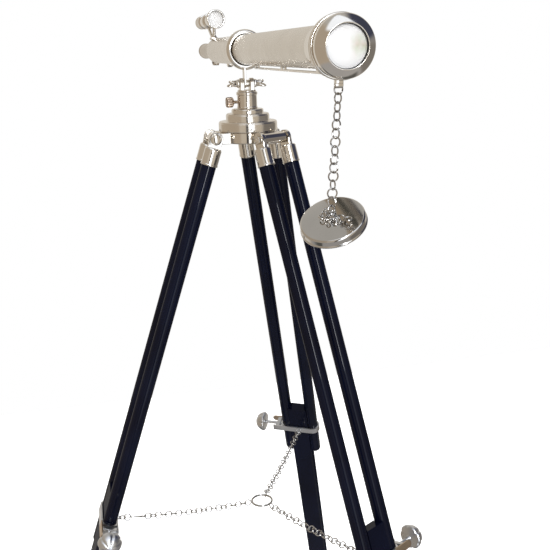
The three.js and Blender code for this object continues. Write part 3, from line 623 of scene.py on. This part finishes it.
def chain_shape(points, size, wire, seed, long_at=None):
    """Round links from the first point to the last, each about a quarter turn from the one
    before. The link at long_at, if there is one, is long and takes two places."""
    total = sum((b - a).length for a, b in zip(points, points[1:]))
    chance = random.Random(seed)
    inner = size - 2 * wire
    count = round(total / inner)
    pitch = total / count
    shape = Shape()
    i = 0
    while i < count:
        long_link = i == long_at
        taken = 2 if long_link else 1
        point, direction = along(points, (i + taken / 2) * pitch)
        roll = (i % 2) * math.pi / 2 + math.radians(chance.uniform(-24, 24) + 20)
        length = 2 * pitch + 2 * wire if long_link else max(size, pitch + 1.9 * wire)
        shape.add(*link(length, size * (0.8 if long_link else 1), wire),
                  facing(point, direction, roll))
        i += taken
    return shape


def rounded(points, steps=8):
    """A smooth line through points."""
    points = [Vector(p) for p in points]
    ends = [2 * points[0] - points[1], *points, 2 * points[-1] - points[-2]]
    line = []
    for a, b, c, d in zip(ends, ends[1:], ends[2:], ends[3:]):
        for t in [i / steps for i in range(steps)]:
            line.append(0.5 * (2 * b + (c - a) * t + (2 * a - 5 * b + 4 * c - d) * t ** 2
                               + (3 * b - a - 3 * c + d) * t ** 3))
    return [*line, points[-1]]


def sagging(start, end, drop, steps=30):
    """A line that hangs between two points. It sags by half the drop."""
    low = (start + end) / 2 - Vector((0, 0, drop))
    return [start * (1 - t) ** 2 + low * 2 * t * (1 - t) + end * t ** 2
            for t in [i / steps for i in range(steps + 1)]]


def spreader():
    ring = [(RING_RADIUS * math.cos(a), RING_RADIUS * math.sin(a), -RING_DROP)
            for a in around(48)]
    piece("spreader_ring_wire", Shape().add(*swept(ring, 1.5, True, 16)), HEAD, CHAIN_WIRE,
          "spreader_chain_1", ["spreader_ring"])
    for number in (1, 2, 3):
        tilt = math.acos(joints[f"leg_{number}_length"]["axis"][2])
        top = Vector((HINGE_OUT + CLAMP_AT * math.sin(tilt) - CHAIN_REACH * math.cos(tilt), 0,
                      -CLAMP_AT * math.cos(tilt) - CHAIN_REACH * math.sin(tilt)))
        # The first chain holds the ring. The other two end beside it, where the loop is open.
        end = Vector((16.2 if number == 1 else 18.2, 0, -RING_DROP))
        long_at = 2 if number == 2 else None
        shape = chain_shape(sagging(top, end, 9), 11, 1.6, 7 * number, long_at)
        piece(f"spreader_links_{number}", shape, upright_frame(number), CHAIN_WIRE,
              f"spreader_chain_{number}", [f"spreader_chain_{number}"])


# ---------------------------------------------------------------- dust cap

CAP_TILT = 23.5                   # degrees, its far edge up
CAP_EYE_RISE = 3.6                # hinge above the cap's face


def cap():
    eye = Vector(joints["cap_swing"]["pos_m"])
    axis = joints["cap_swing"]["axis"]
    lean = Matrix.Rotation(math.atan2(-axis[2], axis[0]), 4, "Y")
    place = (Matrix.Translation(eye) @ lean @ Matrix.Rotation(math.radians(CAP_TILT), 4, "X")
             @ Matrix.Translation((0, 0, -CAP_EYE_RISE * MM)))
    dome = [(27.6 * i / 12, -1.3 * (i / 12) ** 2) for i in range(13)]
    lathe("cap_cup", [
        *dome, (28.6, -1.4), (29.4, -2.0), (29.8, -2.9), (29.8, -7.4), (30.6, -8.1),
        (30.6, -9.2), (30.2, -9.5), (28.4, -9.5), (28.4, -3.2), (27.6, -2.9), (0, -1.6),
    ], place, CAP_NICKEL, "dust_cap", ["dust_cap"], ALONG_Z, soft=0.35, sides=144)
    shape = Shape().add(*link(6.2, 6.2, 1.5), Matrix.Translation((0, 0, 3.0)) @ ALONG_X)
    shape.add(*turned([(0, -0.4), (4.2, -0.4), (4.2, 0.6), (2.2, 1.4), (0, 1.4)], 32, 0.4))
    piece("cap_eye", shape, place, CHAIN_WIRE, "dust_cap")
    slack = [(1, 6, 3.0), (-4, 9, 2.2), (-8, 4, 2.0), (-4, -2, 2.0), (3, 2, 3.4), (-1, 7, 3.6),
             (-5, 0, 3.6), (-2, -8, 2.2), (4, -6, 2.2), (7, -10, 2.0), (12, -15, 1.8)]
    pile = chain_shape(rounded(slack), 8.2, 1.3, 5)
    piece("cap_slack_links", pile, place, CHAIN_WIRE, "dust_cap")


def cap_links():
    top = (Vector(joints["cap_chain_swing"]["pos_m"]) - TUBE.translation) / MM
    low = (Vector(joints["cap_swing"]["pos_m"]) - TUBE.translation) / MM
    points = [top.lerp(low, i / 24) for i in range(25)]
    piece("cap_chain_links", chain_shape(points, 10.0, 1.4, 11), TUBE, CHAIN_WIRE, "cap_chain",
          ["cap_chain"])


# ---------------------------------------------------------------- head


def head():
    lathe("disc_stack", [
        (0, 8), (38.6, 8), (39.4, 9), (39.4, 18.6), (38.9, 19.1), (38.9, 20.2), (38.0, 21.0),
        (29.2, 21.0), (29.2, 28.6), (28.7, 29.1), (28.7, 30.2), (27.8, 31.0), (21.5, 31.0),
        (21.5, 35.0), (20.9, 36.4), (19.6, 37.0), (0, 37.0),
    ], HEAD, TURNED, "root", ["stepped_base"], ALONG_Z, soft=0.45)
    shape = Shape().add(*turned([
        (0, HUB_LOW), (33, HUB_LOW), (34, HUB_LOW + 1), (34, HUB_HIGH - 1), (33, HUB_HIGH),
        (0, HUB_HIGH),
    ]))
    end = arc((HINGE_OUT, (HUB_LOW + HUB_HIGH) / 2), (HUB_HIGH - HUB_LOW) / 2, -90, 90)
    arm = [(14, HUB_LOW), *end, (14, HUB_HIGH)]
    for number in (1, 2, 3):
        side = Matrix.Rotation(leg_azimuth(number), 4, "Z")
        shape.add(*extruded(arm, -19.3, 19.3, 1.2), side @ FACING_Y)
    piece("hub_casting", shape, HEAD, TURNED, "root", ["spider"])
    lathe("socket_sleeve", [
        (8.3, 37.3), (13.8, 37.3), (13.8, 39.2), (13.2, 39.8), (13.2, 54.6), (14.1, 55.4),
        (14.1, 58.2), (13.3, 59.0), (8.3, 59.0),
    ], HEAD, TURNED, "root", ["socket"], ALONG_Z, soft=0.4)
    yoke()
    lathe("lock_thumbscrew", [
        (0, 8.4), (2.0, 8.4), (2.0, 17.4), (3.2, 18.2), (6.0, 19.4), (6.9, 20.6), (6.9, 26.8),
        (6.0, 28.6), (0, 29.4),
    ], HEAD, KNOB_NICKEL_PAINTED_SHADE, "azimuth_knob", ["azimuth_lock_knob"],
          Matrix.Rotation(math.pi, 4, "Z") @ ALONG_X, (0, 0, LOCK_RISE), soft=0.5,
          flutes=9, depth=1.1, fluted_from=5.0, sides=162, pinched=2)


def yoke():
    shape = Shape().add(*turned([(0, 40), (7.9, 40), (7.9, 59.3), (12.4, 59.3), (12.4, 60.7),
                                 (11.6, 61.4), (0, 61.4)], FINE, 0.4))
    post = [(-7, 60), *arc((0, PIVOT_RISE), 7, 180, 0), (7, 60)]
    for low, high in ((-9.7, -3.9), (3.9, 9.7)):
        shape.add(*extruded(post, low, high, 0.7), FACING_X)
    piece("fork", shape, HEAD, TURNED, "yoke", ["yoke"])
    lathe("fork_bolt", [(0, -14.5), (2.6, -14.5), (2.6, 14.5), (0, 14.5)], HEAD, GREY, "yoke",
          ["altitude_bolt"], ALONG_X, (0, 0, PIVOT_RISE), sides=SMALL)
    for name, side in (("left", -1), ("right", 1)):
        wing_nut(name, side)


WING_TURN = 22                    # degrees, wings out of the horizontal


def wing_nut(name, side):
    """A hub and two wire loops."""
    out, aside = 19.6, 5.6            # middle of a loop, along the bolt and to one side of it
    shape = Shape().add(*turned([(2.9, 10.0), (5.4, 10.0), (5.4, 12.4), (4.4, 14.0), (4.0, 17.0),
                                 (2.9, 17.0)], SMALL, 0.4), ALONG_X)
    for way in (-1, 1):
        loop = [(out + 5.3 * math.cos(a), 3.4 * math.sin(a) * (1 - 0.25 * math.cos(a)), 0)
                for a in around(28)]
        swing = (Matrix.Translation((out, way * aside, 0)) @ Matrix.Rotation(way * 0.56, 4, "Z")
                 @ Matrix.Translation((-out, 0, 0)))
        shape.add(*swept(loop, 1.05, True), swing)
    place = HEAD @ Matrix.Translation((0, 0, PIVOT_RISE * MM))
    if side < 0:
        place = place @ Matrix.Rotation(math.pi, 4, "Z")
    place = place @ Matrix.Rotation(math.radians(WING_TURN), 4, "X")
    piece(f"wing_nut_{name}", shape, place, NICKEL, f"wing_{name}", [f"wing_{name}"])


# ---------------------------------------------------------------- legs


def leg(number):
    place = leg_frame(number)
    body = f"leg_{number}"
    for letter, side in (("a", 1), ("b", -1)):
        at = (0, side * ROD_SIDE, 0)
        lathe(f"leg_rod_{number}{letter}", [
            (0, -ROD_END), (6, 0.4 - ROD_END), (8.8, 2 - ROD_END), (10, 5 - ROD_END), (10, -16),
            (0, -16),
        ], place, LACQUER, body, [f"rod_{number}{letter}"], ALONG_Z, at, soft=1.5, sides=64)
        ferrule(number, letter, place, at)
    clamp(number, place, body)
    bolt(number)
    lower_leg(number, place)


def ferrule(number, letter, place, at):
    shape = Shape().add(*turned([
        (0, -15.7), (10.3, -15.7), (10.3, -35), (11.1, -35), (11.6, -34.6), (11.6, -33.0),
        (11.2, -32.4), (11.2, -13.2), (10.2, -11.4), (8.6, -11.0), (0, -11.0),
    ], 64, 0.45), Matrix.Translation(at))
    ear = [(-8.2, -12.5), *arc((0, 0), 9.5, 200, -20, 18), (8.2, -12.5)]
    shape.add(*extruded(ear, -2.7, 2.7, 0.5), Matrix.Translation(at) @ FACING_Y)
    piece(f"rod_cap_{number}{letter}", shape, place, NICKEL, f"leg_{number}",
          [f"ferrule_{number}{letter}"])


def bolt(number):
    place = upright_frame(number) @ Matrix.Translation((HINGE_OUT * MM, 0, 0))
    shape = Shape().add(*turned([
        (0, -30.4), (2.6, -30.4), (2.6, -29.6), (5.0, -29.2), (5.6, -28.6), (5.6, -25.5),
        (2.9, -25.5), (2.9, 25.5), (7.2, 25.5), (7.2, 26.4), (5.9, 28.2), (3.4, 29.3), (0, 29.6),
    ], SMALL, 0.35), ALONG_Y)
    piece(f"pivot_bolt_{number}", shape, place, NICKEL, "root", [f"hinge_bolt_{number}"])


def stadium(radius):
    """Outline round both rods of a leg."""
    return arc((0, ROD_SIDE), radius, 0, 180, 20) + arc((0, -ROD_SIDE), radius, 180, 360, 20)


def clamp(number, place, body):
    outer, inner = stadium(12.7), stadium(10.3)
    count = len(outer)
    levels = [(outer, -5.1), (outer, 5.1), (inner, 5.5), (inner, -5.5)]
    points = [(*p, z) for outline, z in levels for p in outline]
    faces = []
    for level in range(4):
        for i in range(count):
            a, b, j = level * count, (level + 1) % 4 * count, (i + 1) % count
            faces.append([a + i, a + j, b + j, b + i])
    shape = Shape().add(points, faces)
    shape.add(*block((2.4, 26, 11), (-11.5, 35, 0), 0.5))
    shape.add(*block((20.6, 7, 10), (0, 40, 0), 0.6))
    staple = [(-15.1 + 3.6 * math.cos(a), 3.6 * math.sin(a), 0) for a in around(24)]
    shape.add(*swept(staple, 1.1, True))
    at = place @ Matrix.Translation((0, 0, -CLAMP_AT * MM))
    piece(f"clamp_strap_{number}", shape, at, GREY, body, [f"clamp_band_{number}"])
    outline = [(ROD_SIDE, -5.5), *arc((49.5, 0), 5.5, -90, 90), (ROD_SIDE, 5.5)]
    cheek = Shape().add(*extruded(outline, 10.4, 12.7, 0.5), FACING_X)
    piece(f"clamp_cheek_{number}", cheek, at, BRONZE, body)
    dome = [(17 * math.cos(a), 68 + 16 * math.sin(a))
            for a in [math.radians(9 * i) for i in range(11)]]
    lathe(f"clamp_knob_{number}", [
        (0, 33.3), (2.5, 33.3), (2.5, 64.5), (4.0, 66.0), (15.4, 66.0), *dome[:-1], (0, 84),
    ], at, GREY, f"clamp_screw_{number}", [f"clamp_screw_{number}"], ALONG_Y, soft=0.6,
          flutes=6, depth=1.6, fluted_from=5.0, sides=160, pinched=5)


def lower_leg(number, place):
    """Flat bar that slides between the rods, with a groove for each of them in its edges."""
    thick, wide, radius = 9, 16.5, 10.3            # half its thickness and width, groove's radius
    reach = math.degrees(math.acos((ROD_SIDE - wide) / radius))
    groove_a = arc((0, ROD_SIDE), radius, 270 - reach, 270 + reach, 16)
    groove_b = arc((0, -ROD_SIDE), radius, 90 - reach, 90 + reach, 16)
    outline = [(-thick, wide), *groove_a, (thick, wide),
               (thick, -wide), *groove_b, (-thick, -wide)]
    shape = Shape().add(*extruded(outline, -SLAT_END, -SLAT_TOP, 1.0))
    piece(f"leg_slat_{number}", shape, place, LACQUER, f"lower_leg_{number}",
          [f"lower_leg_{number}"])
    finish_cad(f"foot_tip_{number}", RUBBER)


# ---------------------------------------------------------------- studio


def studio():
    half = 1.7
    mesh = bpy.data.meshes.new("floor")
    corners = [(-half, -half, 0), (half, -half, 0), (half, half, 0), (-half, half, 0)]
    mesh.from_pydata(corners, [], [(0, 1, 2, 3)])
    made, nodes = material("pale_floor")
    tone = nodes.spread(nodes.noise(nodes.local(), 1.2), 0, 1)
    surface = nodes.add("ShaderNodeBsdfPrincipled", {
        "Base Color": nodes.mix(tone, (0.93, 0.93, 0.93, 1), (0.95, 0.95, 0.95, 1)),
        "Roughness": 0.9, "Specular IOR Level": 0.1,
        "Emission Color": (1, 1, 1, 1), "Emission Strength": 0.5,
    })
    finish_material(nodes, surface)
    mesh.materials.append(made)
    floor = bpy.data.objects.new("floor", mesh)
    bpy.context.scene.collection.objects.link(floor)
    floor.visible_glossy = False         # metal reflects the grey floor of the surroundings


# Parts of the surroundings: (bearing from, to), (elevation from, to), soft edge and colour.
# Bearings are in degrees from -Y, positive towards +X. Later parts cover earlier ones.
PANELS = [
    ((-140, -42), (-70, 55), 9, (0.46, 0.39, 0.31)),      # warm wall on the left
    ((-42, 48), (-70, 55), 7, (0.58, 0.52, 0.44)),        # front wall
    ((48, 125), (-70, 8), 9, (0.22, 0.20, 0.18)),         # shaded wall on the right
    ((48, 125), (8, 70), 9, (0.055, 0.060, 0.095)),       # dark doorway above it
    ((-60, 70), (44, 90), 6, (1.15, 1.22, 1.34)),         # white ceiling in front
    ((-180, 180), (-95, -42), 5, (0.40, 0.385, 0.375)),   # grey floor
    ((-200, -90), (-95, -50), 6, (0.11, 0.11, 0.10)),     # shaded floor behind, on the left
    ((90, 200), (-95, -50), 6, (0.11, 0.11, 0.10)),       # and on the right
    ((-8, 14), (-36, 45), 2, (1.75, 1.85, 2.00)),         # tall white panel
    ((-19, -10), (-50, 30), 1.2, (0.015, 0.015, 0.020)),  # dark stand beside it
    ((-5, 1), (1, 45), 0.6, (22, 22.4, 23)),              # narrow lamp in front of the panel
]
BACK_WALL = (0.70, 0.655, 0.59)
CEILING = (0.50, 0.485, 0.46)


def sky():
    """Soft surroundings seen in the metal. Looked at directly they are plain white."""
    world = bpy.data.worlds.new("studio")
    world.use_nodes = True
    bpy.context.scene.world = world
    nodes = Nodes(world.node_tree)
    direction = nodes.add("ShaderNodeTexCoord").outputs["Generated"]
    part = nodes.add("ShaderNodeSeparateXYZ", {"Vector": direction})
    facing_front = nodes.math("MULTIPLY", part.outputs[1], -1.0)
    bearing = nodes.math("DEGREES", nodes.math("ARCTAN2", part.outputs[0], facing_front))
    elevation = nodes.math("DEGREES", nodes.math("ARCSINE", part.outputs[2]))

    def above(value, limit, soft):
        return nodes.add("ShaderNodeMapRange", {
            "Value": value, "From Min": limit - soft, "From Max": limit + soft,
        }, interpolation_type="SMOOTHSTEP").outputs[0]

    def between(value, low, high, soft):
        return nodes.math("SUBTRACT", above(value, low, soft), above(value, high, soft))

    seen = nodes.mix(above(elevation, 50, 8), (*BACK_WALL, 1), (*CEILING, 1))
    for bearings, elevations, soft, colour in PANELS:
        place = nodes.math("MULTIPLY", between(bearing, *bearings, soft),
                           between(elevation, *elevations, soft))
        seen = nodes.mix(place, seen, (*colour, 1))
    lit = nodes.add("ShaderNodeBackground", {"Color": seen, "Strength": 1.0})
    plain = nodes.add("ShaderNodeBackground", {"Color": (1, 1, 1, 1), "Strength": 1.0})
    path = nodes.add("ShaderNodeLightPath")
    choice = nodes.add("ShaderNodeMixShader", {0: path.outputs["Is Camera Ray"],
                                               1: lit.outputs[0], 2: plain.outputs[0]})
    nodes.add("ShaderNodeOutputWorld", {"Surface": choice.outputs[0]})


def softbox(name, place, aim, size, power):
    """A lamp that lights the object but isn't mirrored in it, since the metal mirrors sky()."""
    data = bpy.data.lights.new(name, "AREA")
    data.shape = "RECTANGLE"
    data.size, data.size_y = size
    data.energy = power
    lamp = bpy.data.objects.new(name, data)
    bpy.context.scene.collection.objects.link(lamp)
    lamp.visible_glossy = False
    lamp.location = place
    lamp.rotation_euler = (Vector(aim) - Vector(place)).to_track_quat("-Z", "Y").to_euler()


objective()
flange()
barrel()
rail()
focuser()
finder()
cap()
cap_links()
head()
for leg_number in (1, 2, 3):
    leg(leg_number)
spreader()
studio()
sky()
softbox("overhead", (0.3, 0.2, 3.4), (0.1, 0, 0.6), (2.6, 2.6), 55)
softbox("front", (-0.5, -3.0, 2.4), (0.1, 0, 0.8), (1.6, 1.6), 30)
softbox("left", (-2.4, 0.05, 1.2), (0.1, 0, 0.9), (0.6, 2.2), 8)
softbox("right", (2.0, 1.3, 1.3), (0.1, 0, 0.9), (0.6, 2.2), 8)

bpy.context.scene.view_settings.view_transform = "Standard"
